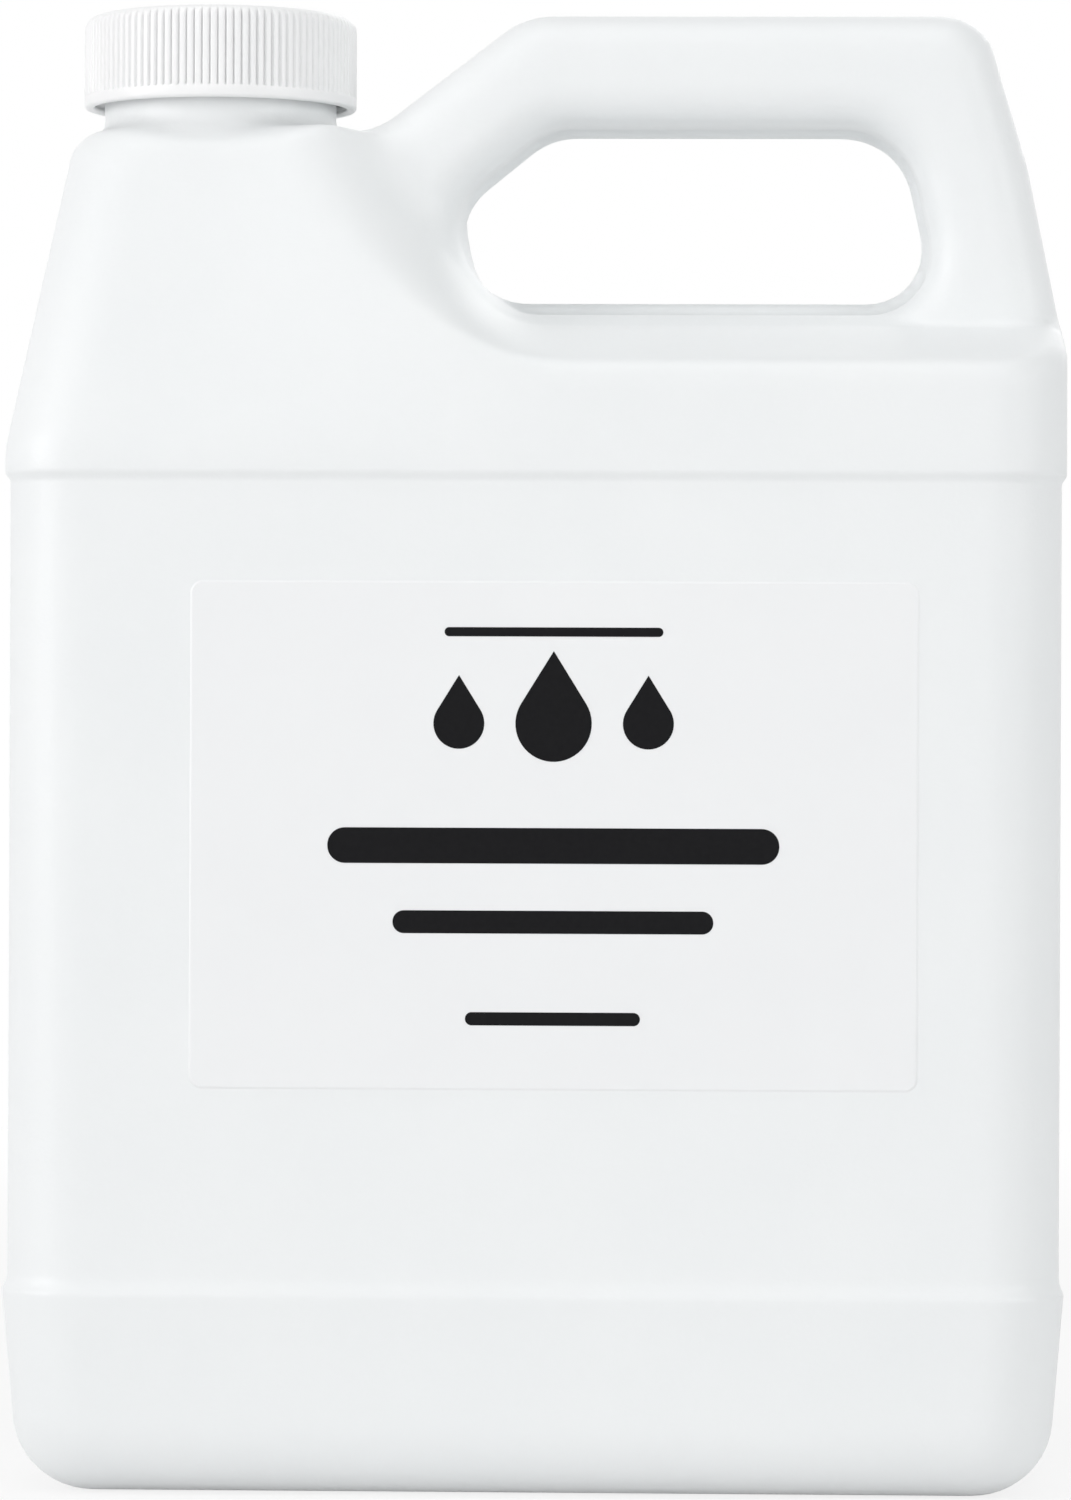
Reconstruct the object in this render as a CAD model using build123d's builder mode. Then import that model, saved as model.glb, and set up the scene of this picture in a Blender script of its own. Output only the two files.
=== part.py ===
from build123d import *
from math import atan, cos, degrees, pi, sin
import os

# Laundry detergent bottle in millimetres: +Z up, front towards -Y, handle end towards +X.
# The origin is the middle of the foot. The mould parts in the plane y = 0.
# Places along the width are measured in from the neck end, or at the far end from the handle end.

# Body
body_width = 133.0
body_depth = 60.0
wall = 1.1
corner_radius = 10.0
heel_radius = 9.0
foot_draw_in = 2.0
base_band_top = 26.8
panel_top = 126.5
panel_recess = 0.6
foot_ring_width = 4.0
push_up_height = 1.6
push_up_slope = 3.0
push_up_corner_radius = 6.0

# Shoulder, which leans back at the neck end and stays upright under the handle
shoulder_start = 131.0
shoulder_top = 172.0
shoulder_lean_in = 7.3
shoulder_top_near_depth = 33.0
shoulder_top_far_depth = 58.0
shoulder_top_radius = 4.0
shoulder_top_wall = 2.6
lean_end_in = 32.5
lean_fade_in = 66.5

# Neck and the mouth that the cap seals
neck_in = 25.2
neck_height = 12.7
neck_radius = 14.9
neck_bore_radius = 12.9
neck_flare = 1.2
mouth_edge_cut = 0.5

# Handle, a hollow loop standing in the scoop
handle_depth = 26.0
handle_edge_radius = 6.0
handle_hole_edge_cut = 2.8
handle_top = 186.6
handle_root_in = 45.35
handle_root_height = 171.8
handle_bend_in = 64.7
handle_end_in = 0.3
handle_end_height = 147.5
handle_end_mid_in = 4.3
handle_end_mid_height = 167.0
handle_end_top_in = 10.1
handle_buried_in = 30.5
handle_buried_bottom = 135.0
handle_bend_radius = 10.0
handle_corner_radius = 7.5

# Hand hole, with the thin land where the two walls are pinched together
hole_top = 171.35
hole_bottom = 150.1
hole_left_in = 56.65
hole_left_bend_height = 162.2
hole_top_left_in = 68.0
hole_top_end_in = 21.5
hole_low_end_in = 16.5
hole_radius = 8.2
hole_low_end_radius = 6.5
land_width = 0.8
land_drop = 1.2
land_thickness = 3.0

# Scoop that narrows the body to the handle: rim on the face, foot at the handle, core at the middle
scoop_rim_in = 34.9
scoop_rim_height = 141.0
scoop_rim_top_in = 27.3
scoop_rim_radius = 43.0
scoop_foot_in = 61.9
scoop_foot_height = 147.5
scoop_foot_top_in = 27.9
scoop_core_in = 60.7
scoop_core_top_in = 49.1
scoop_top_height = 180.0
scoop_radius = 10.0
scoop_clearance = 4.0
overrun = 20.0

# Inside edges are cut flat by a share of the rounding that would keep the wall even. A flat cut
# that stays one wall inside another is smaller than it by a share of the wall.
inner_cut_share = 0.75
flat_cut_share = 2 - 2**0.5

# Screw cap and its sealing disc
cap_diameter = 35.0
cap_height = 11.7
cap_top_wall = 1.3
cap_bore_diameter = 32.9
cap_band_height = 1.5
cap_top_edge_cut = 1.2
cap_rim_edge_cut = 0.3
rib_count = 108
rib_height = 0.45
liner_thickness = 1.0
liner_gap = 0.25

# Label on the recessed front panel
label_width = 90.2
label_height = 63.0
label_in = 24.1
label_bottom = 51.0
label_thickness = 0.15
label_corner_radius = 1.6

# Places that follow from the sizes above
left_end = -body_width / 2
right_end = body_width / 2
half_depth = body_depth / 2
foot_taper = degrees(atan(foot_draw_in / base_band_top))
handle_half = handle_depth / 2
lean_end_x = left_end + lean_end_in
lean_fade_x = left_end + lean_fade_in
lean_rate = (body_depth - shoulder_top_near_depth) / 2 / (shoulder_top - shoulder_start)
handle_rise_rate = (handle_top - handle_root_height) / (handle_bend_in - handle_root_in)
handle_buried_height = handle_root_height - handle_rise_rate * (handle_root_in - handle_buried_in)
clear_right = right_end + overrun
neck_x = left_end + neck_in
neck_start = shoulder_top - shoulder_top_radius
mouth_height = shoulder_top + neck_height
cap_radius = cap_diameter / 2
cap_root_radius = cap_radius - rib_height
cap_bore_radius = cap_bore_diameter / 2
rib_valley_x = cap_root_radius * cos(pi / rib_count)
rib_valley_y = cap_root_radius * sin(pi / rib_count)
liner_top = mouth_height + liner_thickness
cap_top = liner_top + cap_top_wall
cap_skirt_bottom = cap_top - cap_height


def soften(corners, radius, inset):
    """Round what is outside. Inside, cut it flat, which leaves about the same wall."""
    if inset == 0:
        fillet(corners, radius)
    else:
        chamfer(corners, inner_cut_share * (radius - inset))


def body_section(height, draw_in, radius, inset=0):
    """Plan section of the body, drawn in on every side."""
    with BuildSketch(Plane.XY.offset(height)) as plan:
        Rectangle(body_width - 2 * draw_in, body_depth - 2 * draw_in)
        soften(plan.vertices(), radius, inset)
    return plan.sketch


def shoulder_section(height, start, end, radius, inset):
    """Plan section of one stretch of the shoulder between two places, each an x and a half depth."""
    start_x, start_half = start
    end_x, end_half = end
    with BuildSketch(Plane.XY.offset(height)) as plan:
        with BuildLine():
            Polyline(
                (start_x, -start_half),
                (end_x, -end_half),
                (end_x, end_half),
                (start_x, start_half),
                close=True,
            )
        make_face()
        if radius > 0:
            soften(plan.vertices().sort_by_distance((start_x, 0))[:2], radius, inset)
    return plan.sketch.face()


def make_shoulder(inset):
    """Shoulder in three stretches: leaning at the neck end, a ramp, and upright under the handle."""
    low_half = half_depth - inset
    near_half = shoulder_top_near_depth / 2 - inset
    far_half = shoulder_top_far_depth / 2 - inset
    left = left_end + inset
    right = right_end - inset
    top = shoulder_top if inset == 0 else shoulder_top - shoulder_top_wall
    stretches = (
        ((left, low_half), (lean_end_x, low_half), corner_radius),
        ((lean_end_x, low_half), (lean_fade_x, low_half), 0),
        ((right, low_half), (lean_fade_x, low_half), corner_radius),
    )
    top_stretches = (
        ((left + shoulder_lean_in, near_half), (lean_end_x, near_half), corner_radius),
        ((lean_end_x, near_half), (lean_fade_x, far_half), 0),
        ((right, far_half), (lean_fade_x, far_half), corner_radius),
    )
    pairs = [
        (shoulder_section(shoulder_start, *low, inset), shoulder_section(top, *high, inset))
        for low, high in zip(stretches, top_stretches)
    ]
    with BuildPart() as shoulder:
        for low, high in pairs:
            loft(sections=[low, high], ruled=True)
        if inset == 0:
            fillet(shoulder.faces().sort_by(Axis.Z)[-1].edges(), shoulder_top_radius)
    return shoulder.part


def hole_sketch(grow, drop=0):
    """Outline of the hand hole in the front view, grown on every side, with its floor dropped."""
    floor = hole_bottom - drop
    with BuildSketch(Plane.XZ) as outline:
        with BuildLine():
            Polyline(
                (left_end + hole_top_left_in, hole_top),
                (left_end + hole_left_in, hole_left_bend_height),
                (left_end + hole_left_in, floor),
                (right_end - hole_low_end_in, floor),
                (right_end - hole_top_end_in, hole_top),
                close=True,
            )
        make_face()
        corners = outline.vertices().sort_by(Axis.X)
        fillet(corners[-1], hole_low_end_radius)
        fillet(corners[:-1], hole_radius)
        if grow > 0:
            offset(amount=grow)
    return outline.sketch


def scoop_face(plane, base_height, rise, corner, top_x, radius, inset):
    """Section of the scoop in a plane that climbs rise units for each unit of height."""
    corner_x, corner_height = corner
    low = (corner_height - base_height) * rise
    high = (scoop_top_height - base_height) * rise
    with BuildSketch(plane) as section:
        with BuildLine():
            Polyline(
                (corner_x, low),
                (top_x, high),
                (clear_right, high),
                (clear_right, low),
                close=True,
            )
        make_face()
        bend = section.vertices().sort_by_distance((corner_x, low, 0))[0]
        fillet(bend, radius)
        if inset > 0:
            offset(amount=inset, kind=Kind.INTERSECTION)
    return section.sketch.face()


def make_scoop(inset):
    """Solid removed in front of and behind the handle, grown by the inset."""
    leaning = Plane(
        origin=(0, -half_depth - scoop_clearance, shoulder_start),
        x_dir=(1, 0, 0),
        z_dir=(0, -1, lean_rate),
    )
    rise = (1 + lean_rate**2) ** 0.5
    rim_corner = (left_end + scoop_rim_in, scoop_rim_height)
    rim_top_x = left_end + scoop_rim_top_in
    rim = scoop_face(leaning, shoulder_start, rise, rim_corner, rim_top_x, scoop_rim_radius, inset)
    foot_corner = (left_end + scoop_foot_in, scoop_foot_height)
    foot_top_x = left_end + scoop_foot_top_in
    foot_plane = Plane.XZ.offset(handle_half)
    foot = scoop_face(foot_plane, 0, 1, foot_corner, foot_top_x, scoop_radius, inset)
    core_corner = (left_end + scoop_core_in, scoop_foot_height)
    core_top_x = left_end + scoop_core_top_in
    core = scoop_face(Plane.XZ, 0, 1, core_corner, core_top_x, scoop_radius, inset)
    with BuildPart() as scoop:
        loft(sections=[rim, foot], ruled=True)
        loft(sections=[foot, core], ruled=True)
        extrude(to_extrude=rim, amount=overrun, dir=(0, -1, 0))
        mirror(about=Plane.XZ)
    return scoop.part


def make_handle(inset):
    """Handle loop with rounded edges, its lower side buried in the body."""
    hole = hole_sketch(land_width + inset, land_drop)
    buried_x = left_end + handle_buried_in
    end_x = right_end - handle_end_in
    end_mid_x = right_end - handle_end_mid_in
    end_top_x = right_end - handle_end_top_in
    with BuildPart() as handle:
        with BuildSketch(Plane.XZ) as outline:
            with BuildLine():
                Polyline(
                    (end_x, handle_end_height),
                    (end_x, handle_buried_bottom),
                    (buried_x, handle_buried_bottom),
                    (buried_x, handle_buried_height),
                    (left_end + handle_bend_in, handle_top),
                    (end_top_x, handle_top),
                )
                ThreePointArc(
                    (end_top_x, handle_top),
                    (end_mid_x, handle_end_mid_height),
                    (end_x, handle_end_height),
                )
            make_face()
            fillet(outline.vertices().group_by(Axis.Y)[-1].sort_by(Axis.X)[0], handle_bend_radius)
            fillet(outline.vertices().group_by(Axis.Y)[-1].sort_by(Axis.X)[-1], handle_corner_radius)
            fillet(outline.vertices().group_by(Axis.X)[0], handle_corner_radius)
            fillet(outline.vertices().group_by(Axis.Y)[0].sort_by(Axis.X)[-1], handle_corner_radius)
            if inset > 0:
                offset(amount=-inset)
        extrude(amount=handle_half - inset, both=True)
        extrude(to_extrude=hole, amount=handle_depth, both=True, mode=Mode.SUBTRACT)
        for side in (Axis.Y, -Axis.Y):
            face = handle.faces().sort_by(side)[-1]
            chamfer(face.inner_wires()[0].edges(), handle_hole_edge_cut - flat_cut_share * inset)
            face = handle.faces().sort_by(side)[-1]
            soften(face.outer_wire().edges(), handle_edge_radius, inset)
    return handle.part


def make_form(inset):
    """Solid form of the body and handle, drawn inset inside the outer skin."""
    scoop = make_scoop(inset)
    handle = make_handle(inset)
    leaning = make_shoulder(inset)
    band = body_section(base_band_top, inset, corner_radius, inset)
    panel = body_section(base_band_top, panel_recess + inset, corner_radius - panel_recess, inset)
    shoulder = body_section(panel_top, inset, corner_radius, inset)
    recess = foot_draw_in + heel_radius + foot_ring_width - inset
    push_up = body_section(inset, recess, push_up_corner_radius)
    push_up_top = body_section(inset + push_up_height, recess + push_up_slope, push_up_corner_radius)
    with BuildPart() as form:
        extrude(to_extrude=band, amount=inset - base_band_top, taper=foot_taper)
        soften(form.faces().sort_by(Axis.Z)[0].edges(), heel_radius, inset)
        loft(sections=[push_up, push_up_top], ruled=True, mode=Mode.SUBTRACT)
        extrude(to_extrude=panel, amount=panel_top - base_band_top)
        extrude(to_extrude=shoulder, amount=shoulder_start - panel_top)
        add(leaning)
        add(scoop, mode=Mode.SUBTRACT)
        add(handle)
    return form.part


outer_form = make_form(0)
inner_form = make_form(wall)
land = hole_sketch(land_width + wall / 2, land_drop)
hand_hole = hole_sketch(0)
neck_plane = Plane(origin=(neck_x, 0, 0))
neck_axis = Axis((neck_x, 0, 0), (0, 0, 1))

with BuildPart() as bottle:
    add(outer_form)
    with BuildSketch(Plane.XZ) as neck:
        with BuildLine():
            Polyline(
                (neck_x, neck_start),
                (neck_x + neck_radius + neck_flare, neck_start),
                (neck_x + neck_radius + neck_flare, shoulder_top),
                (neck_x + neck_radius, shoulder_top + neck_flare),
                (neck_x + neck_radius, mouth_height),
                (neck_x, mouth_height),
                close=True,
            )
        make_face()
        chamfer(neck.vertices().group_by(Axis.Y)[-1].sort_by(Axis.X)[-1], mouth_edge_cut)
    revolve(axis=neck_axis)
    add(inner_form, mode=Mode.SUBTRACT)
    with BuildSketch(neck_plane.offset(neck_start)):
        Circle(neck_bore_radius)
    extrude(amount=mouth_height - neck_start, mode=Mode.SUBTRACT)
    extrude(to_extrude=land, amount=land_thickness / 2, both=True)
    extrude(to_extrude=hand_hole, amount=handle_depth, both=True, mode=Mode.SUBTRACT)

with BuildPart() as cap:
    with BuildSketch(neck_plane.offset(cap_skirt_bottom + cap_band_height)):
        with PolarLocations(0, rib_count):
            Polygon(
                (0, 0),
                (rib_valley_x, -rib_valley_y),
                (cap_radius, 0),
                (rib_valley_x, rib_valley_y),
                align=None,
            )
    extrude(amount=cap_top - cap_skirt_bottom - cap_band_height)
    with BuildSketch(neck_plane.offset(cap_skirt_bottom)):
        Circle(cap_radius)
    extrude(amount=cap_band_height)
    with BuildSketch(Plane.XZ) as envelope:
        with BuildLine():
            Polyline(
                (neck_x, cap_skirt_bottom),
                (neck_x + cap_radius, cap_skirt_bottom),
                (neck_x + cap_radius, cap_top),
                (neck_x, cap_top),
                close=True,
            )
        make_face()
        chamfer(envelope.vertices().group_by(Axis.Y)[0].sort_by(Axis.X)[-1], cap_rim_edge_cut)
        chamfer(envelope.vertices().group_by(Axis.Y)[-1].sort_by(Axis.X)[-1], cap_top_edge_cut)
    revolve(axis=neck_axis, mode=Mode.INTERSECT)
    with BuildSketch(neck_plane.offset(cap_skirt_bottom)):
        Circle(cap_bore_radius)
    extrude(amount=liner_top - cap_skirt_bottom, mode=Mode.SUBTRACT)

with BuildPart() as cap_liner:
    with BuildSketch(neck_plane.offset(mouth_height)):
        Circle(cap_bore_radius - liner_gap)
    extrude(amount=liner_top - mouth_height)

with BuildPart() as label:
    with BuildSketch(Plane.XZ.offset(half_depth - panel_recess)):
        with Locations((left_end + label_in + label_width / 2, label_bottom + label_height / 2)):
            RectangleRounded(label_width, label_height, label_corner_radius)
    extrude(amount=label_thickness)

os.makedirs("parts", exist_ok=True)

bottle.part.label = "bottle"
export_step(bottle.part, "parts/bottle.step")
cap.part.label = "cap"
export_step(cap.part, "parts/cap.step")
cap_liner.part.label = "cap_liner"
export_step(cap_liner.part, "parts/cap_liner.step")
label.part.label = "label"
export_step(label.part, "parts/label.step")
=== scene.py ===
from math import atan2, cos, hypot, pi, radians, sin, tan

import bmesh
import bpy
import numpy as np
from mathutils import Matrix, Vector


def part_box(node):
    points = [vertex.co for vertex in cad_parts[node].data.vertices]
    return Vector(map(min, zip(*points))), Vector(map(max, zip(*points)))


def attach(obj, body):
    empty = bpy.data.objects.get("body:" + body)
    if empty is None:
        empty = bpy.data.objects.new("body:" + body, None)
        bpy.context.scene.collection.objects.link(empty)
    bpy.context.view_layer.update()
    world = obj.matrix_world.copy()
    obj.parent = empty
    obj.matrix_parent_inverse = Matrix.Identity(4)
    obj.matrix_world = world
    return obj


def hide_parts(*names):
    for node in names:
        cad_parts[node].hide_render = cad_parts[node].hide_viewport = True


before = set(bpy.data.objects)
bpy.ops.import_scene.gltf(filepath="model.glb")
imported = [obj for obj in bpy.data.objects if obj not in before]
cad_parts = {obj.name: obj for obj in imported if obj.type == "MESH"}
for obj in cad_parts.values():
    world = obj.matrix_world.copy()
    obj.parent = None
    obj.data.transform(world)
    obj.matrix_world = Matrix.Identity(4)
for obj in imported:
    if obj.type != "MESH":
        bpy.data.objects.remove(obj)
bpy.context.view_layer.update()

# Sizes are in millimetres, in the frame's axes: x to the right, y away from the viewer, z up.
MM = 0.001


def node_box(name):
    """Lowest and highest corners of a node, in millimetres."""
    low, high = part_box(name)
    return np.array(low) / MM, np.array(high) / MM


bottle_high = node_box("bottle")[1]
cap_low, cap_high = node_box("cap")
liner_low, liner_high = node_box("cap_liner")
label_low, label_high = node_box("label")

# Body, from the frame and from the profile of its sides
half_width = bottle_high[0]
half_depth = bottle_high[1]
handle_top = bottle_high[2]
wall = 1.1
corner_radius = 10.0
heel_radius = 9.0
foot_draw_in = 2.0
foot_ring_width = 4.0
push_up_height = 1.6
push_up_slope = 3.0
base_band_top = 25.5
base_ledge_top = 28.1
panel_top = 126.4
panel_ledge_top = 127.7
panel_recess = 0.6

# Shoulder, which leans back at the neck end
shoulder_start = 131.0
shoulder_start_softness = 4.0
shoulder_top = 172.0
shoulder_top_radius = 4.0
saddle_drop = 1.0
saddle = (-28.0, -18.0)
left_lean = 7.3
front_lean = 13.5
front_lean_under_handle = 1.0
lean_fade = (-42.0, 8.0)

# Scoop: outlines of its rim, foot and core in the front view, each a bend, a top end and a radius
scoop_high = 190.0
rim_bend, rim_top, rim_radius = (-31.6, 141.0), (-39.2, 180.0), 43.0
foot_bend, foot_top, foot_radius = (-4.6, 147.2), (-34.4, 175.7), 10.0
core_bend, core_top, core_radius = (-5.8, 148.1), (-16.0, 176.0), 10.0
ramp_curve_fade = (-12.0, 4.0)
rim_edge_radius = 2.2
deck_edge_radius = 0.4
ramp_reach = 1.5
scoop_softness = 0.7

# Handle: corners of its outline in the front view, each with its radius
handle_half = 13.0
handle_edge_radius = 6.0
grip_edge_radius = 4.6
handle_join_radius = 1.0
handle_root_join_extra = 1.6
handle_corners = (
    (66.2, 147.5, 0.0),
    (63.0, 167.5, 230.0),
    (56.4, handle_top, 7.5),
    (-1.8, handle_top, 10.0),
    (-36.0, 160.4, 7.5),
    (-36.0, 135.0, 7.5),
    (66.2, 135.0, 0.0),
)

# Hand hole and the thin land round it
hole_corners = (
    (1.5, 171.8, 8.2),
    (-9.85, 162.6, 8.2),
    (-9.85, 150.5, 8.2),
    (50.7, 150.5, 7.0),
    (46.0, 171.8, 9.0),
)
land_width = 0.8
land_width_below = 2.0
land_half = 1.5
land_edge_radius = 0.6

# Neck, mouth and thread
neck_x = (cap_low[0] + cap_high[0]) / 2
neck_radius = 14.9
bore_radius = 12.9
neck_flare = 1.6
mouth_height = liner_low[2]
mouth_edge_radius = 0.45
neck_seam = 174.6
neck_seam_gap = 0.3
thread_pitch = 4.233
thread_turns = 1.35
thread_run_out = 0.5
thread_height = 1.2
thread_width = 2.1
thread_crest_share = 0.35
thread_start = 177.6

# Mould seam, in the plane y = 0
seam_height = 0.1
seam_width = 0.28
seam_shoulder = 8.0

# Mesh spacing
skin_spacing = 1.2
inner_spacing = 2.4
chart_spacing = 0.4
chart_margin = 10.0
neck_columns = 180
neck_ring_spacing = 0.28
bore_ring_spacing = 1.4
seam_reach, seam_spacing = 0.9, 0.18
base_ledge_reach, base_ledge_spacing = 0.8, 0.4
panel_ledge_reach, panel_ledge_spacing = 0.6, 0.25
cap_ring_spacing = 0.3
rib_columns = 8
liner_columns = 120
least_divisor = 1e-6


def smooth_step(low, high, value):
    """Rises smoothly from 0 at low to 1 at high."""
    share = np.clip((value - low) / (high - low), 0, 1)
    return share * share * (3 - 2 * share)


def soft_ramp(value, softness):
    """Zero below 0 and the value itself above, with the corner rounded off."""
    share = np.clip(value / softness + 0.5, 0, 1)
    return np.where(share < 1, softness * share * share / 2, value)


def round_cut(a, b, radius):
    """Field of what is inside both, with its outer edge rounded."""
    beyond = np.hypot(np.maximum(radius + a, 0), np.maximum(radius + b, 0))
    return np.minimum(-radius, np.maximum(a, b)) + beyond


def round_join(a, b, radius):
    """Field of what is inside either, with its inner corner filled to a radius."""
    within = np.hypot(np.maximum(radius - a, 0), np.maximum(radius - b, 0))
    return np.maximum(radius, np.minimum(a, b)) - within


def rounded_path(corners, arc_step=radians(6)):
    """Closed outline with each corner turned into an arc of its radius."""
    points = []
    count = len(corners)
    for i, (x, z, radius) in enumerate(corners):
        corner = np.array((x, z))
        before = np.array(corners[i - 1][:2]) - corner
        after = np.array(corners[(i + 1) % count][:2]) - corner
        before /= np.linalg.norm(before)
        after /= np.linalg.norm(after)
        if radius == 0:
            points.append(corner)
            continue
        half_angle = np.arccos(np.clip(before @ after, -1, 1)) / 2
        middle = (before + after) / np.linalg.norm(before + after)
        centre = corner + middle * radius / sin(half_angle)
        start = corner + before * radius / tan(half_angle) - centre
        end = corner + after * radius / tan(half_angle) - centre
        first = atan2(start[1], start[0])
        turn = (atan2(end[1], end[0]) - first + pi) % (2 * pi) - pi
        for share in np.linspace(0, 1, max(2, int(abs(turn) / arc_step) + 2)):
            angle = first + turn * share
            points.append(centre + radius * np.array((cos(angle), sin(angle))))
    return np.array(points)


chart_x = np.arange(-half_width - chart_margin, half_width + chart_margin, chart_spacing)
chart_z = np.arange(-chart_margin, scoop_high + chart_margin, chart_spacing)
front_x, front_z = np.meshgrid(chart_x, chart_z, indexing="ij")


def outline_distance(points):
    """Chart of the distance to a closed outline in the front view, negative inside it."""
    nearest = np.full(front_x.shape, np.inf)
    inside = np.zeros(front_x.shape, bool)
    for (x0, z0), (x1, z1) in zip(points, np.roll(points, -1, axis=0)):
        across, up = x1 - x0, z1 - z0
        share = ((front_x - x0) * across + (front_z - z0) * up) / (across**2 + up**2)
        share = np.clip(share, 0, 1)
        gap = (front_x - x0 - share * across) ** 2 + (front_z - z0 - share * up) ** 2
        nearest = np.minimum(nearest, gap)
        if up != 0:
            crosses = (z0 > front_z) != (z1 > front_z)
            inside ^= crosses & (front_x < x0 + across * (front_z - z0) / up)
    return np.where(inside, -1, 1) * np.sqrt(nearest)


def read_chart(chart, x, z):
    """Values of a chart between its points."""
    slack = 0.001
    u = np.clip((x - chart_x[0]) / chart_spacing, 0, len(chart_x) - 1 - slack)
    v = np.clip((z - chart_z[0]) / chart_spacing, 0, len(chart_z) - 1 - slack)
    i, j = u.astype(int), v.astype(int)
    u, v = u - i, v - j
    low = chart[i, j] * (1 - u) + chart[i + 1, j] * u
    high = chart[i, j + 1] * (1 - u) + chart[i + 1, j + 1] * u
    return low * (1 - v) + high * v


def soften_chart(chart, softness):
    """Blurs a chart by a softness in millimetres."""
    across = np.fft.fftfreq(chart.shape[0], chart_spacing)[:, None]
    up = np.fft.rfftfreq(chart.shape[1], chart_spacing)[None, :]
    weight = np.exp(-2 * (pi * softness) ** 2 * (across**2 + up**2))
    return np.fft.irfft2(np.fft.rfft2(chart) * weight, chart.shape)


def scoop_outline(bend, top, radius):
    """Outline of the scoop at one depth: a floor to the right of its bend and a side that leans left."""
    reach = (scoop_high - bend[1]) / (top[1] - bend[1])
    far_right = half_width + 2 * chart_margin
    corners = (
        (bend[0], bend[1], radius),
        (far_right, bend[1], 0.0),
        (far_right, scoop_high + 2 * chart_margin, 0.0),
        (bend[0] + (top[0] - bend[0]) * reach, scoop_high + 2 * chart_margin, 0.0),
    )
    return outline_distance(rounded_path(corners))


def face_depth_chart():
    """Half depth of the body's front over the front view, with the shoulder's lean."""
    climb = soft_ramp(front_z - shoulder_start, shoulder_start_softness)
    leaning = 1 - smooth_step(*lean_fade, front_x)
    lean = front_lean_under_handle + (front_lean - front_lean_under_handle) * leaning
    return half_depth - lean * climb / (shoulder_top - shoulder_start)


def scoop_depth_chart(face):
    """Half depth that the scoop leaves: a ramp or deck down to the handle, then on to the middle."""
    rim = -scoop_outline(rim_bend, rim_top, rim_radius)
    foot = -scoop_outline(foot_bend, foot_top, foot_radius)
    core = -scoop_outline(core_bend, core_top, core_radius)
    down = np.clip(rim / np.maximum(rim - foot, least_divisor), -ramp_reach, 1)
    curved = 1 - smooth_step(*ramp_curve_fade, front_x)
    drop = down * (1 - curved) + down * np.abs(down) * curved
    ramp = face + (handle_half - face) * drop
    inward = np.clip(foot / np.maximum(foot - core, least_divisor), 0, 1)
    half = np.where(foot > 0, handle_half * (1 - inward), ramp)
    return soften_chart(np.where(core > 0, -core, half), scoop_softness)


def level_chart(chart):
    """What turns a difference in depth into a distance from the surface, over the front view."""
    return 1 / np.sqrt(1 + np.hypot(*np.gradient(chart, chart_spacing)) ** 2)


face_chart = face_depth_chart()
scoop_chart = scoop_depth_chart(face_chart)
face_level = level_chart(face_chart)
scoop_level = level_chart(scoop_chart)
handle_chart = outline_distance(rounded_path(handle_corners))
hole_chart = outline_distance(rounded_path(hole_corners))


def draw_in(z):
    """How far the sides stand inside the widest section, at each height."""
    taper = foot_draw_in * np.clip(1 - z / base_band_top, 0, 1)
    left_to_ledge = np.clip((base_ledge_top - z) / (base_ledge_top - base_band_top), 0, 1)
    below = 1 - left_to_ledge**3
    above = smooth_step(panel_top, panel_ledge_top, z)
    return taper + panel_recess * below * (1 - above)


def grip_opening(x, z):
    """Distance to the opening between the bars, which is the hand hole with its land."""
    drop = land_width_below - land_width
    return np.minimum(read_chart(hole_chart, x, z), read_chart(hole_chart, x, z + drop)) - land_width


def body_field(x, y, z):
    """Body without its handle."""
    inset = draw_in(z)
    depth = np.abs(y)
    front = (depth - read_chart(face_chart, x, z) + inset) * read_chart(face_level, x, z)
    climb = soft_ramp(z - shoulder_start, shoulder_start_softness)
    lean_rate = left_lean / (shoulder_top - shoulder_start)
    lean_level = 1 / np.sqrt(1 + np.where(climb > 0, lean_rate**2, 0))
    left = (lean_rate * climb - half_width - x + inset) * lean_level
    side = np.maximum(x - half_width + inset, left)
    body = round_cut(front, side, corner_radius)
    top = shoulder_top - saddle_drop * smooth_step(*saddle, x)
    body = round_cut(body, z - top, shoulder_top_radius)
    scoop = (depth - read_chart(scoop_chart, x, z)) * read_chart(scoop_level, x, z)
    edge = deck_edge_radius + (rim_edge_radius - deck_edge_radius) * smooth_step(*ramp_curve_fade, x)
    body = round_cut(body, scoop, edge)
    ring = foot_draw_in + heel_radius + foot_ring_width
    within = np.minimum(half_width - np.abs(x), half_depth - depth)
    floor = push_up_height * smooth_step(ring, ring + push_up_slope, within)
    return round_cut(body, floor - z, heel_radius)


def handle_field(x, y, z):
    """Handle loop with rounded edges."""
    depth = np.abs(y)
    bar = round_cut(read_chart(handle_chart, x, z), depth - handle_half, handle_edge_radius)
    return round_cut(bar, -grip_opening(x, z), grip_edge_radius)


def neck_field(x, y, z):
    """Neck, running up out of the shoulder."""
    return np.maximum(np.hypot(x - neck_x, y) - neck_radius, shoulder_start - z)


def moulded_field(x, y, z):
    """Body, handle and neck joined, with no hand hole yet."""
    radius = handle_join_radius + handle_root_join_extra * (1 - smooth_step(*ramp_curve_fade, x))
    joined = round_join(body_field(x, y, z), handle_field(x, y, z), radius)
    joined = np.maximum(joined, x - half_width)
    return round_join(joined, neck_field(x, y, z), neck_flare)


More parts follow.
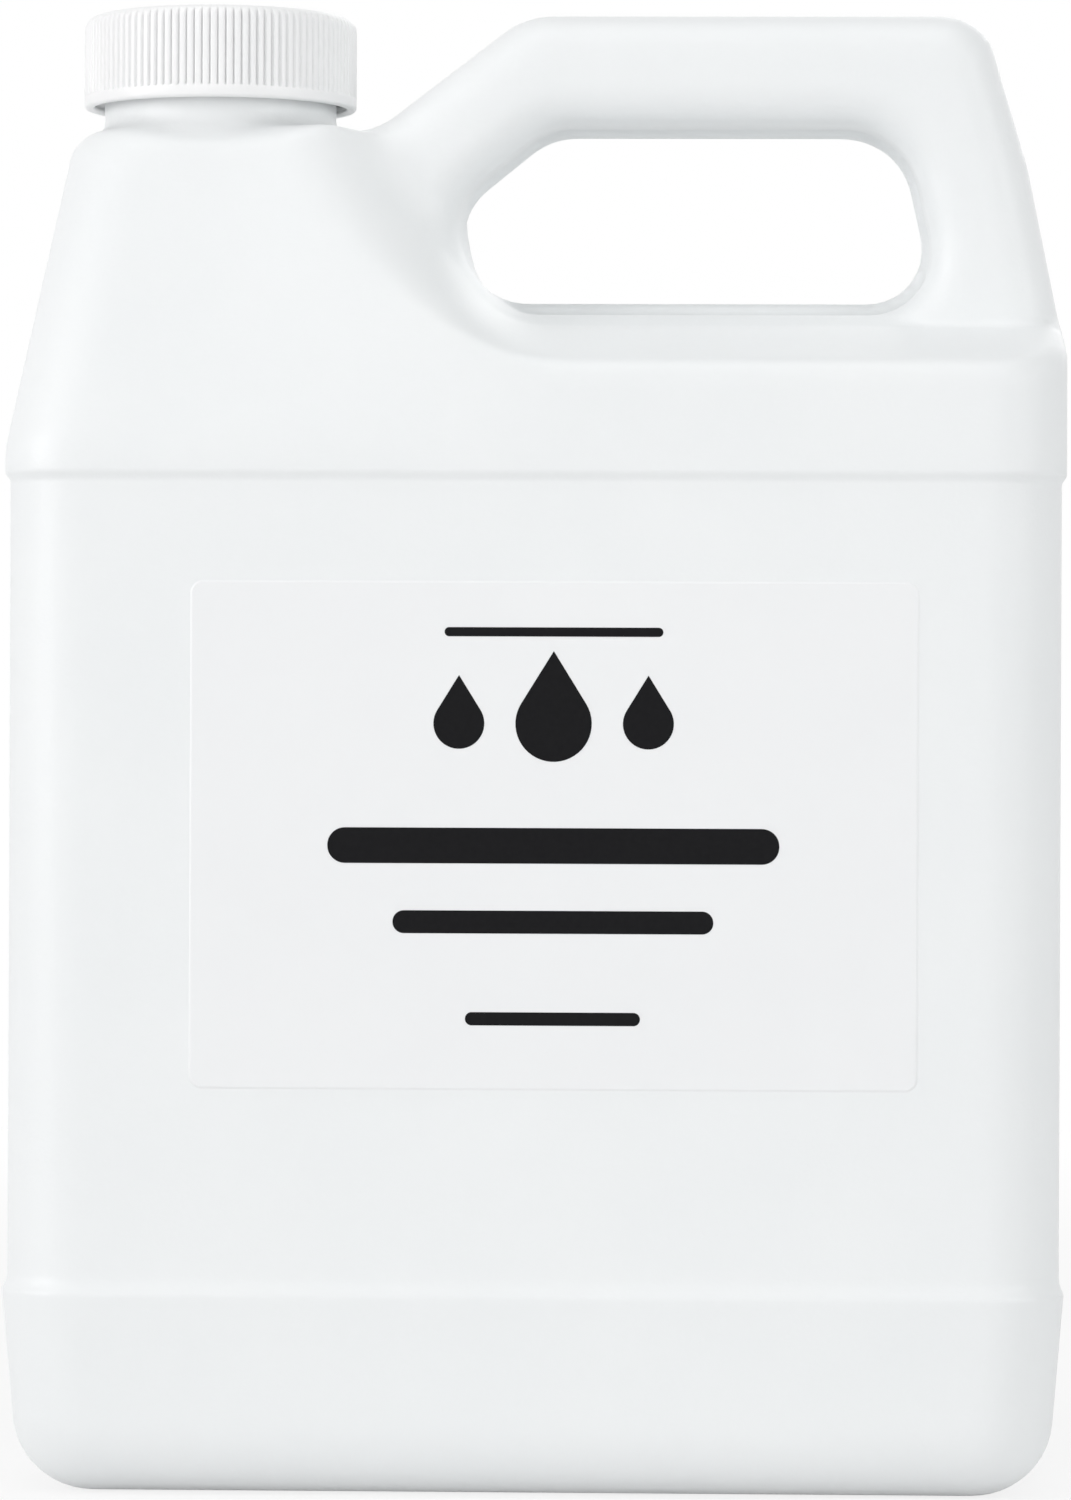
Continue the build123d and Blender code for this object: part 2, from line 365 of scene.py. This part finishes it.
def skin_field(x, y, z):
    """Outer skin of the bottle, with the land, the hand hole and the mould seam."""
    land = round_cut(grip_opening(x, z) - land_half, np.abs(y) - land_half, land_edge_radius)
    joined = round_join(moulded_field(x, y, z), land, land_edge_radius)
    skin = round_cut(joined, -read_chart(hole_chart, x, z), land_edge_radius)
    ridge = np.exp(-((y / seam_width) ** 2))
    seam = seam_height * (np.exp(-((y / seam_shoulder) ** 2)) - ridge)
    return skin + seam * smooth_step(0, heel_radius, z)


def hollow_field(x, y, z):
    """Space inside the bottle, with the bore of the neck."""
    bore = np.maximum(np.hypot(x - neck_x, y) - bore_radius, shoulder_start - z)
    return round_join(moulded_field(x, y, z) + wall, bore, wall)


def gradient(field, points, reach):
    """Gradient of a field at each point."""
    columns = []
    for axis in range(3):
        step = np.zeros(3)
        step[axis] = reach
        change = field(*(points + step).T) - field(*(points - step).T)
        columns.append(change / (2 * reach))
    return np.stack(columns, axis=1)


def settle(field, points, rounds=4, reach=0.05, longest=0.6, flattest=0.05):
    """Moves points on to the field's zero surface."""
    for _ in range(rounds):
        slope = gradient(field, points, reach)
        steepness = np.maximum((slope**2).sum(axis=1), flattest)
        move = field(*points.T)[:, None] * slope / steepness[:, None]
        points = points - np.clip(move, -longest, longest)
    return points


def surface_net(field, xs, ys, zs):
    """Quad mesh of a field's zero surface, with one point in each grid cell that it crosses."""
    axes = (xs, ys, zs)
    values = field(*np.meshgrid(*axes, indexing="ij"))
    cells = np.array([len(axis) - 1 for axis in axes])
    total = np.zeros((int(cells.prod()), 3))
    hits = np.zeros(int(cells.prod()))
    faces = []
    for axis in range(3):
        low = np.moveaxis(values, axis, 0)[:-1]
        high = np.moveaxis(values, axis, 0)[1:]
        found = np.argwhere((low < 0) != (high < 0))
        share = low[tuple(found.T)] / (low[tuple(found.T)] - high[tuple(found.T)])
        rises = low[tuple(found.T)] < 0
        others = [other for other in range(3) if other != axis]
        node = np.empty((len(found), 3), int)
        node[:, axis] = found[:, 0]
        node[:, others] = found[:, 1:]
        point = np.stack([axes[a][node[:, a]] for a in range(3)], axis=1)
        point[:, axis] += share * (axes[axis][node[:, axis] + 1] - axes[axis][node[:, axis]])
        second, third = (axis + 1) % 3, (axis + 2) % 3
        corner = []
        for back_second, back_third in ((1, 1), (0, 1), (0, 0), (1, 0)):
            cell = node.copy()
            cell[:, second] -= back_second
            cell[:, third] -= back_third
            held = ((cell >= 0) & (cell < cells)).all(axis=1)
            flat = np.where(held, np.ravel_multi_index(np.where(held[:, None], cell, 0).T, cells), -1)
            np.add.at(total, flat[held], point[held])
            np.add.at(hits, flat[held], 1)
            corner.append(flat)
        quads = np.stack(corner, axis=1)
        quads = np.where(rises[:, None], quads, quads[:, ::-1])
        faces.append(quads[(quads >= 0).all(axis=1)])
    used = np.flatnonzero(hits)
    index = np.full(len(hits), -1)
    index[used] = np.arange(len(used))
    points = settle(field, total[used] / hits[used][:, None])
    return points, index[np.concatenate(faces)]


def even_axis(low, high, spacing):
    """Evenly spaced places from low to high."""
    return np.linspace(low, high, int(round((high - low) / spacing)) + 1)


def fine_axis(axis, *stretches):
    """An axis with finer places in the given stretches, each a low end, a high end and a spacing."""
    for low, high, spacing in stretches:
        axis = np.concatenate((axis[(axis < low) | (axis > high)], even_axis(low, high, spacing)))
    return np.unique(np.round(axis, 4))


def add_object(name, mesh, body, material, smooth=True):
    """Object for a finished mesh, riding on a body and taking its finish from a slot."""
    for polygon in mesh.polygons:
        polygon.use_smooth = smooth
    piece = bpy.data.objects.new(name, mesh)
    bpy.context.scene.collection.objects.link(piece)
    mesh.materials.append(material)
    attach(piece, body)
    return piece


def lathe(bm, rings, columns, close_start=False, close_end=False):
    """Surface of rings about the neck's axis. A ring is a height and a radius for each column."""
    angles = np.arange(columns) * 2 * pi / columns
    rows = []
    for height, radius in rings:
        radii = np.broadcast_to(radius, columns)
        rows.append([
            bm.verts.new(((neck_x + r * cos(a)) * MM, r * sin(a) * MM, height * MM))
            for r, a in zip(radii, angles)
        ])
    for low, high in zip(rows, rows[1:]):
        for i in range(columns):
            j = (i + 1) % columns
            bm.faces.new((low[i], low[j], high[j], high[i]))
    for close, row, step in ((close_start, rows[0], -1), (close_end, rows[-1], 1)):
        if close:
            middle = bm.verts.new((neck_x * MM, 0, sum(v.co.z for v in row) / columns))
            for i in range(columns):
                j = (i + 1) % columns
                bm.faces.new((row[i], row[j], middle)[::step])


def thread_bead(angles, height, rise):
    """How far a thread stands out at each angle, at one height. It starts rise above thread_start."""
    bead = np.zeros(len(angles))
    sweep = thread_turns * 2 * pi
    for turn in range(-1, 3):
        swept = angles + 2 * pi * turn
        middle = thread_start + rise + thread_pitch * swept / (2 * pi)
        begins = smooth_step(0, thread_run_out, swept)
        ends = 1 - smooth_step(sweep - thread_run_out, sweep, swept)
        side = np.abs(height - middle) / (thread_width / 2)
        crest = 1 - smooth_step(thread_crest_share, 1.0, side)
        bead = np.maximum(bead, begins * ends * crest)
    return bead * thread_height


def finish_rings(columns):
    """Rings of the threaded neck, from its outside over the mouth to its bore."""
    angles = np.arange(columns) * 2 * pi / columns
    lip = mouth_edge_radius
    lip_shares = (0.33, 0.66, 1.0)
    rings = []
    for height in even_axis(neck_seam, mouth_height - lip, neck_ring_spacing):
        rings.append((height, neck_radius + thread_bead(angles, height, 0)))
    for share in lip_shares:
        angle = share * pi / 2
        rings.append((mouth_height - lip * (1 - sin(angle)), neck_radius - lip * (1 - cos(angle))))
    for share in (0.0, *lip_shares):
        angle = share * pi / 2
        rings.append((mouth_height - lip * (1 - cos(angle)), bore_radius + lip * (1 - sin(angle))))
    for height in even_axis(neck_seam, mouth_height - 2 * lip, bore_ring_spacing)[::-1]:
        rings.append((height, bore_radius))
    return rings


def boundary_near(bm, height, radius):
    """Open edges of a ring about the neck's axis."""
    height_slack, radius_slack = 0.2, 0.5
    found = []
    for edge in bm.edges:
        if edge.is_boundary:
            middle = (edge.verts[0].co + edge.verts[1].co) / (2 * MM)
            off_radius = abs(hypot(middle.x - neck_x, middle.y) - radius)
            if abs(middle.z - height) < height_slack and off_radius < radius_slack:
                found.append(edge)
    return found


def add_skin(bm, field, spacing, stop_radius, stop_height, flip, y_stretches=(), z_stretches=()):
    """Adds the zero surface of a field, cut off round the neck at a height."""
    margin = 2 * spacing
    xs = even_axis(-half_width - margin, half_width + margin, spacing)
    ys = fine_axis(even_axis(-half_depth - margin, half_depth + margin, spacing), *y_stretches)
    zs = fine_axis(even_axis(-margin, handle_top + margin, spacing), *z_stretches)
    points, quads = surface_net(field, xs, ys, zs)
    if flip:
        quads = quads[:, ::-1]
    verts = [bm.verts.new(point) for point in (points * MM).tolist()]
    new_faces = []
    for quad in quads.tolist():
        new_faces.append(bm.faces.new([verts[i] for i in quad]))
    near = []
    for face in new_faces:
        middle = face.calc_center_median() / MM
        if hypot(middle.x - neck_x, middle.y) < stop_radius + margin and middle.z > stop_height - margin:
            near.append(face)
    geometry = dict.fromkeys(near)
    for face in near:
        geometry.update(dict.fromkeys(face.verts))
        geometry.update(dict.fromkeys(face.edges))
    bmesh.ops.bisect_plane(
        bm,
        geom=list(geometry),
        plane_co=(0, 0, stop_height * MM),
        plane_no=(0, 0, 1),
        clear_outer=True,
    )


def make_bottle(material):
    """Blow-moulded bottle: outer skin, threaded neck and the hollow inside, as one closed mesh."""
    bm = bmesh.new()
    stop = neck_seam - neck_seam_gap
    add_skin(
        bm,
        skin_field,
        skin_spacing,
        neck_radius,
        stop,
        False,
        y_stretches=((-seam_reach, seam_reach, seam_spacing),),
        z_stretches=(
            (base_band_top - base_ledge_reach, base_ledge_top + base_ledge_reach, base_ledge_spacing),
            (panel_top - panel_ledge_reach, panel_ledge_top + panel_ledge_reach, panel_ledge_spacing),
        ),
    )
    add_skin(bm, hollow_field, inner_spacing, bore_radius, stop, True)
    lathe(bm, finish_rings(neck_columns), neck_columns)
    for radius in (neck_radius, bore_radius):
        loops = boundary_near(bm, stop, radius) + boundary_near(bm, neck_seam, radius)
        bmesh.ops.bridge_loops(bm, edges=loops)
    mesh = bpy.data.meshes.new("bottle_skin")
    bm.to_mesh(mesh)
    bm.free()
    piece = add_object("bottle_skin", mesh, "bottle_body", material)
    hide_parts("bottle")


# Cap, from its frame box and from the profile of its skirt
cap_radius = (cap_high[0] - cap_low[0]) / 2
cap_valley_radius = cap_radius - 0.55
cap_bore_radius = 16.45
cap_band_height = 1.5
cap_top_radius = 1.6
cap_rim_radius = 0.45
cap_lip_radius = 16.2
cap_lip_height = 0.9
rib_count = 108
rib_crest_share = 0.28
rib_start_low, rib_start_high = -0.05, 0.25
rib_ring_start, rib_ring_spacing = 0.9, 1.8
band_ring_drop = 0.15


def make_cap(material):
    """Screw cap with rounded ribs that run out at its top edge, a plain band and an inner thread."""
    columns = rib_count * rib_columns
    angles = np.arange(columns) * 2 * pi / columns
    across = np.abs((angles * rib_count / (2 * pi)) % 1 - 0.5)
    rib = 1 - smooth_step(rib_crest_share, 0.5, across)
    bottom, top = cap_low[2], cap_high[2]
    band_top = bottom + cap_band_height
    inner_top = liner_high[2]
    rings = []
    for height in even_axis(bottom + cap_lip_height, inner_top - cap_ring_spacing, cap_ring_spacing)[::-1]:
        rings.append((height, cap_bore_radius - thread_bead(angles, height, -thread_pitch / 2)))
    lip_shares = (0.3, 0.7, 1.0)
    for share in lip_shares:
        rise = cap_lip_height * (1 - share) + cap_rim_radius * share
        widening = (cap_lip_radius - cap_bore_radius) * smooth_step(0, 1, share)
        rings.append((bottom + rise, cap_bore_radius + widening))
    rim_shares = (0.35, 0.7, 1.0)
    reach = cap_rim_radius
    for share in rim_shares:
        angle = share * pi / 2
        rings.append((bottom + reach * (1 - sin(angle)), cap_lip_radius + reach * (1 - cos(angle))))
    for share in (0.0, *rim_shares):
        angle = share * pi / 2
        rings.append((bottom + reach * (1 - cos(angle)), cap_radius - reach * (1 - sin(angle))))
    rings.append((band_top - band_ring_drop, cap_radius))
    for share in (0.0, 0.5, 1.0):
        grown = cap_valley_radius + (cap_radius - cap_valley_radius) * np.maximum(rib, 1 - share)
        rings.append((band_top + rib_start_low + (rib_start_high - rib_start_low) * share, grown))
    ribbed = cap_valley_radius + (cap_radius - cap_valley_radius) * rib
    for height in even_axis(band_top + rib_ring_start, top - cap_top_radius, rib_ring_spacing):
        rings.append((height, ribbed))
    top_shares = np.linspace(0.15, 1.0, 8)
    for share in top_shares:
        angle = share * pi / 2
        limit = cap_radius - cap_top_radius * (1 - cos(angle))
        rings.append((top - cap_top_radius * (1 - sin(angle)), np.minimum(ribbed, limit)))
    bm = bmesh.new()
    lathe(bm, rings, columns, close_start=True, close_end=True)
    mesh = bpy.data.meshes.new("cap_shell")
    bm.to_mesh(mesh)
    bm.free()
    piece = add_object("cap_shell", mesh, "cap_body", material)
    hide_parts("cap")


def make_liner(material):
    """Foam disc in the cap, with a softly rounded edge."""
    radius = (liner_high[0] - liner_low[0]) / 2
    low, high = liner_low[2], liner_high[2]
    edge = (high - low) / 2
    rings = []
    edge_angles = np.linspace(-pi / 2, pi / 2, 9)
    for angle in edge_angles:
        rings.append((low + edge * (1 + sin(angle)), radius - edge * (1 - cos(angle))))
    bm = bmesh.new()
    lathe(bm, rings, liner_columns, close_start=True, close_end=True)
    mesh = bpy.data.meshes.new("liner_disc")
    bm.to_mesh(mesh)
    bm.free()
    piece = add_object("liner_disc", mesh, "liner_body", material)
    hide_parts("cap_liner")


# Label: bevel of its edge, the part of the edge left upright, and radius of its corners
label_bevel = 0.24
label_edge = 0.03
label_corner_radius = 1.6
label_arc_step = radians(10)

# Label print. Bars: shares of the label's width and height for the middle's place, from the label's
# middle, and for the bar's length and thickness. Drops: the same for the middle, and a share of the
# label's height for the radius.
ink_thickness = 0.03
ink_sunk_share = 1 / 3
bar_end_share = 0.98
drop_point_share = 1.9
drop_arc_start, drop_arc_end, drop_arc_points = radians(32), radians(-212), 34
print_bar_shares = (
    (0.0, 0.40, 0.300, 0.018),
    (0.0, -0.02, 0.620, 0.070),
    (0.0, -0.17, 0.440, 0.045),
    (0.0, -0.36, 0.240, 0.026),
)
print_drop_shares = ((-0.13, 0.22, 0.050), (0.0, 0.22, 0.075), (0.13, 0.22, 0.050))


def make_label(material):
    """Thin film with a fine bevel round its edge."""
    bm = bmesh.new()
    loops = []
    back, face = label_high[1], label_low[1]
    for inset, depth in ((0.0, back), (0.0, back - label_edge), (label_bevel, face)):
        left, right = label_low[0] + inset, label_high[0] - inset
        bottom, top = label_low[2] + inset, label_high[2] - inset
        radius = label_corner_radius - inset
        corners = [(x, z, radius) for x, z in ((left, bottom), (right, bottom), (right, top), (left, top))]
        outline = rounded_path(corners, label_arc_step)
        loops.append([bm.verts.new((x * MM, depth * MM, z * MM)) for x, z in outline])
    for low, high in zip(loops, loops[1:]):
        for i in range(len(low)):
            j = (i + 1) % len(low)
            bm.faces.new((low[i], low[j], high[j], high[i]))
    bm.faces.new(loops[0][::-1])
    bm.faces.new(loops[-1])
    bmesh.ops.recalc_face_normals(bm, faces=bm.faces)
    mesh = bpy.data.meshes.new("label_sheet")
    bm.to_mesh(mesh)
    bm.free()
    piece = add_object("label_sheet", mesh, "bottle_body", material, smooth=False)
    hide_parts("label")


def add_print(bm, outline):
    """Raises one flat shape of ink from the label's face."""
    back = label_low[1] - ink_thickness * ink_sunk_share
    face = bm.faces.new([bm.verts.new((x * MM, back * MM, z * MM)) for x, z in outline])
    moved = bmesh.ops.extrude_face_region(bm, geom=[face])["geom"]
    verts = [item for item in moved if isinstance(item, bmesh.types.BMVert)]
    bmesh.ops.translate(bm, verts=verts, vec=(0, -ink_thickness * (1 - ink_sunk_share) * MM, 0))


def make_print(material):
    """Generic print: plain bars with rounded ends, and drops."""
    middle_x = (label_low[0] + label_high[0]) / 2
    middle_z = (label_low[2] + label_high[2]) / 2
    width, height = label_high[0] - label_low[0], label_high[2] - label_low[2]
    bm = bmesh.new()
    for across, up, long_share, tall_share in print_bar_shares:
        x, z = middle_x + across * width, middle_z + up * height
        long, tall = long_share * width / 2, tall_share * height / 2
        end = tall * bar_end_share
        corners = [
            (x + right * long, z + above * tall, end)
            for right, above in ((1, -1), (1, 1), (-1, 1), (-1, -1))
        ]
        add_print(bm, rounded_path(corners, label_arc_step))
    for across, up, size_share in print_drop_shares:
        x, z, size = middle_x + across * width, middle_z + up * height, size_share * height
        outline = [(x, z + drop_point_share * size)]
        for angle in np.linspace(drop_arc_start, drop_arc_end, drop_arc_points):
            outline.append((x + size * cos(angle), z + size * sin(angle)))
        add_print(bm, np.array(outline))
    bmesh.ops.recalc_face_normals(bm, faces=bm.faces)
    mesh = bpy.data.meshes.new("label_print")
    bm.to_mesh(mesh)
    bm.free()
    add_object("label_print", mesh, "bottle_body", material, smooth=False)


def new_material(name, colour, roughness):
    """Material with its shader and a texture coordinate node."""
    material = bpy.data.materials.new(name)
    material.use_nodes = True
    tree = material.node_tree
    shader = tree.nodes["Principled BSDF"]
    shader.inputs["Base Color"].default_value = (*colour, 1)
    shader.inputs["Roughness"].default_value = roughness
    place = tree.nodes.new("ShaderNodeTexCoord")
    return material, tree, shader, place


def add_noise(tree, place, scale, detail):
    """Noise over the object, in cycles for each metre."""
    noise = tree.nodes.new("ShaderNodeTexNoise")
    noise.inputs["Scale"].default_value = scale
    noise.inputs["Detail"].default_value = detail
    tree.links.new(place.outputs["Object"], noise.inputs["Vector"])
    return noise


def grey(value):
    """Colour whose channels all have one value, also used for a plain number."""
    return (value, value, value)


def vary(tree, noise, socket, low, high, low_end=0.3, high_end=0.7):
    """Lets a noise move a shader's number or colour from low to high between two of its values."""
    ramp = tree.nodes.new("ShaderNodeValToRGB")
    ramp.color_ramp.elements[0].position = low_end
    ramp.color_ramp.elements[1].position = high_end
    ramp.color_ramp.elements[0].color = (*low, 1)
    ramp.color_ramp.elements[1].color = (*high, 1)
    tree.links.new(noise.outputs["Fac"], ramp.inputs["Fac"])
    tree.links.new(ramp.outputs["Color"], socket)


def add_bump(tree, shader, heights, distance, strength):
    """Small relief from a height output."""
    bump = tree.nodes.new("ShaderNodeBump")
    bump.inputs["Distance"].default_value = distance
    bump.inputs["Strength"].default_value = strength
    tree.links.new(heights, bump.inputs["Height"])
    tree.links.new(bump.outputs["Normal"], shader.inputs["Normal"])


def blown_plastic():
    """Natural white blow-moulded plastic: satin, a little cool, with the fine grain of a blasted mould."""
    material, tree, shader, place = new_material("blown_plastic", colour=(0.86, 0.87, 0.875), roughness=0.42)
    clouds = add_noise(tree, place, scale=45, detail=3)
    vary(tree, clouds, shader.inputs["Base Color"], low=(0.850, 0.870, 0.876), high=(0.866, 0.884, 0.888))
    grain = add_noise(tree, place, scale=1800, detail=2)
    vary(tree, grain, shader.inputs["Roughness"], low=grey(0.38), high=grey(0.48))
    add_bump(tree, shader, grain.outputs["Fac"], distance=0.00006, strength=0.35)
    plastic_index = 1.5
    shader.inputs["IOR"].default_value = plastic_index
    return material


def cap_plastic():
    """White injection-moulded plastic: a little smoother and whiter than the bottle."""
    material, tree, shader, place = new_material("cap_plastic", colour=(0.91, 0.915, 0.918), roughness=0.34)
    clouds = add_noise(tree, place, scale=90, detail=2)
    vary(tree, clouds, shader.inputs["Base Color"], low=(0.902, 0.908, 0.912), high=(0.918, 0.922, 0.924))
    grain = add_noise(tree, place, scale=2600, detail=2)
    vary(tree, grain, shader.inputs["Roughness"], low=grey(0.30), high=grey(0.38))
    add_bump(tree, shader, grain.outputs["Fac"], distance=0.00003, strength=0.25)
    return material


def liner_foam():
    """Fine closed-cell foam."""
    material, tree, shader, place = new_material("liner_foam", colour=(0.80, 0.80, 0.79), roughness=0.8)
    cells_per_metre = 1500
    cells = tree.nodes.new("ShaderNodeTexVoronoi")
    cells.inputs["Scale"].default_value = cells_per_metre
    tree.links.new(place.outputs["Object"], cells.inputs["Vector"])
    add_bump(tree, shader, cells.outputs["Distance"], distance=0.0001, strength=0.4)
    clouds = add_noise(tree, place, scale=300, detail=2)
    vary(tree, clouds, shader.inputs["Base Color"], low=(0.78, 0.78, 0.77), high=(0.82, 0.82, 0.81))
    return material


def label_film():
    """White plastic film, close to the bottle's colour and smoother."""
    material, tree, shader, place = new_material("label_film", colour=(0.865, 0.876, 0.884), roughness=0.38)
    clouds = add_noise(tree, place, scale=60, detail=3)
    vary(tree, clouds, shader.inputs["Base Color"], low=(0.858, 0.870, 0.878), high=(0.868, 0.880, 0.886))
    sheen = add_noise(tree, place, scale=150, detail=1)
    vary(tree, sheen, shader.inputs["Roughness"], low=grey(0.36), high=grey(0.40))
    return material


def label_ink():
    """Matt black ink with a slightly uneven sheen."""
    material, tree, shader, place = new_material("label_ink", colour=(0.005, 0.005, 0.006), roughness=0.6)
    grain = add_noise(tree, place, scale=1500, detail=3)
    vary(tree, grain, shader.inputs["Base Color"], low=(0.004, 0.004, 0.005), high=(0.007, 0.007, 0.008))
    vary(tree, grain, shader.inputs["Roughness"], low=grey(0.54), high=grey(0.66))
    ink_shine = 0.12
    shader.inputs["Specular IOR Level"].default_value = ink_shine
    return material


def seen_directly(tree):
    """Output that is 1 where a surface is seen by the camera, in a reflection or through something."""
    path = tree.nodes.new("ShaderNodeLightPath")
    first = tree.nodes.new("ShaderNodeMath")
    first.operation = "MAXIMUM"
    tree.links.new(path.outputs["Is Camera Ray"], first.inputs[0])
    tree.links.new(path.outputs["Is Glossy Ray"], first.inputs[1])
    second = tree.nodes.new("ShaderNodeMath")
    second.operation = "MAXIMUM"
    tree.links.new(first.outputs["Value"], second.inputs[0])
    tree.links.new(path.outputs["Is Transmission Ray"], second.inputs[1])
    return second.outputs["Value"]


def floor_material():
    """Pale floor: where seen, partly white near the bottle, to keep its shadow, and all white further off."""
    share_near, share_far = 0.8, 1.0
    fade_start, fade_end = 0.25, 0.7
    material, tree, shader, place = new_material("floor_white", colour=grey(0.85), roughness=0.9)
    clouds = add_noise(tree, place, scale=3, detail=2)
    vary(tree, clouds, shader.inputs["Base Color"], low=grey(0.88), high=grey(0.90))
    white = tree.nodes.new("ShaderNodeEmission")
    white.inputs["Color"].default_value = (1, 1, 1, 1)
    white.inputs["Strength"].default_value = 1.0
    distance = tree.nodes.new("ShaderNodeVectorMath")
    distance.operation = "LENGTH"
    tree.links.new(place.outputs["Object"], distance.inputs[0])
    fade = tree.nodes.new("ShaderNodeMapRange")
    fade.interpolation_type = "SMOOTHSTEP"
    fade.inputs["From Min"].default_value = fade_start
    fade.inputs["From Max"].default_value = fade_end
    fade.inputs["To Min"].default_value = share_near
    fade.inputs["To Max"].default_value = share_far
    tree.links.new(distance.outputs["Value"], fade.inputs["Value"])
    share = tree.nodes.new("ShaderNodeMath")
    share.operation = "MULTIPLY"
    tree.links.new(seen_directly(tree), share.inputs[0])
    tree.links.new(fade.outputs["Result"], share.inputs[1])
    mix = tree.nodes.new("ShaderNodeMixShader")
    tree.links.new(share.outputs["Value"], mix.inputs["Fac"])
    tree.links.new(shader.outputs["BSDF"], mix.inputs[1])
    tree.links.new(white.outputs["Emission"], mix.inputs[2])
    tree.links.new(mix.outputs["Shader"], tree.nodes["Material Output"].inputs["Surface"])
    return material


def make_floor():
    """Round floor under the bottle."""
    floor_radius = 6.0
    bm = bmesh.new()
    bmesh.ops.create_circle(bm, cap_ends=True, segments=96, radius=floor_radius)
    mesh = bpy.data.meshes.new("floor")
    bm.to_mesh(mesh)
    bm.free()
    floor = bpy.data.objects.new("floor", mesh)
    bpy.context.scene.collection.objects.link(floor)
    mesh.materials.append(floor_material())


def make_world():
    """Even pale surroundings, plain white where they are seen."""
    ambient_colour, ambient_strength = (0.99, 0.995, 1.0), 0.42
    world = bpy.data.worlds.new("studio")
    bpy.context.scene.world = world
    world.use_nodes = True
    tree = world.node_tree
    light = tree.nodes["Background"]
    light.inputs["Color"].default_value = (*ambient_colour, 1)
    light.inputs["Strength"].default_value = ambient_strength
    white = tree.nodes.new("ShaderNodeBackground")
    white.inputs["Color"].default_value = (1, 1, 1, 1)
    white.inputs["Strength"].default_value = 1.0
    mix = tree.nodes.new("ShaderNodeMixShader")
    tree.links.new(seen_directly(tree), mix.inputs["Fac"])
    tree.links.new(light.outputs["Background"], mix.inputs[1])
    tree.links.new(white.outputs["Background"], mix.inputs[2])
    tree.links.new(mix.outputs["Shader"], tree.nodes["World Output"].inputs["Surface"])


def add_lamp(name, place, size, power, colour=(1, 1, 1)):
    """Soft square lamp that points at the middle of the bottle."""
    data = bpy.data.lights.new(name, "AREA")
    data.size = size
    data.energy = power
    data.color = colour
    lamp = bpy.data.objects.new(name, data)
    lamp.location = place
    middle = Vector((0, 0, handle_top / 2 * MM))
    lamp.rotation_euler = (middle - lamp.location).to_track_quat("-Z", "Y").to_euler()
    lamp.visible_camera = False
    bpy.context.scene.collection.objects.link(lamp)


def make_camera():
    """Camera at the photograph's viewing angle: level, a little to the right, with a slight roll."""
    distance = 0.763
    azimuth = radians(1.68)
    roll = 0.0041
    target = Vector((-0.00039, 0, 0.0931))
    focal_pixels, picture_height_pixels = 5930, 1500
    nearest, furthest = 0.05, 50
    data = bpy.data.cameras.new("camera")
    data.lens = focal_pixels / picture_height_pixels * data.sensor_width
    data.clip_start = nearest
    data.clip_end = furthest
    camera = bpy.data.objects.new("camera", data)
    ahead = Vector((-sin(azimuth), cos(azimuth), 0))
    turn = ahead.to_track_quat("-Z", "Y").to_matrix().to_4x4() @ Matrix.Rotation(roll, 4, "Z")
    camera.matrix_world = Matrix.Translation(target - distance * ahead) @ turn
    bpy.context.scene.collection.objects.link(camera)
    bpy.context.scene.camera = camera


make_camera()
make_floor()
make_world()
add_lamp("left_lamp", place=(-1.3, -0.7, 0.5), size=0.8, power=8.8, colour=(1.0, 0.985, 0.985))
add_lamp("right_lamp", place=(1.2, -0.9, 0.5), size=0.8, power=5.3)
add_lamp("top_lamp", place=(-0.1, -0.35, 1.5), size=1.0, power=4.6)
add_lamp("low_lamp", place=(0.0, -1.3, 0.06), size=0.9, power=2.2)
add_lamp("back_lamp", place=(0.5, 1.3, 0.8), size=0.8, power=2.4)
bpy.context.scene.view_settings.view_transform = "Standard"

make_bottle(blown_plastic())
make_cap(cap_plastic())
make_liner(liner_foam())
make_label(label_film())
make_print(label_ink())
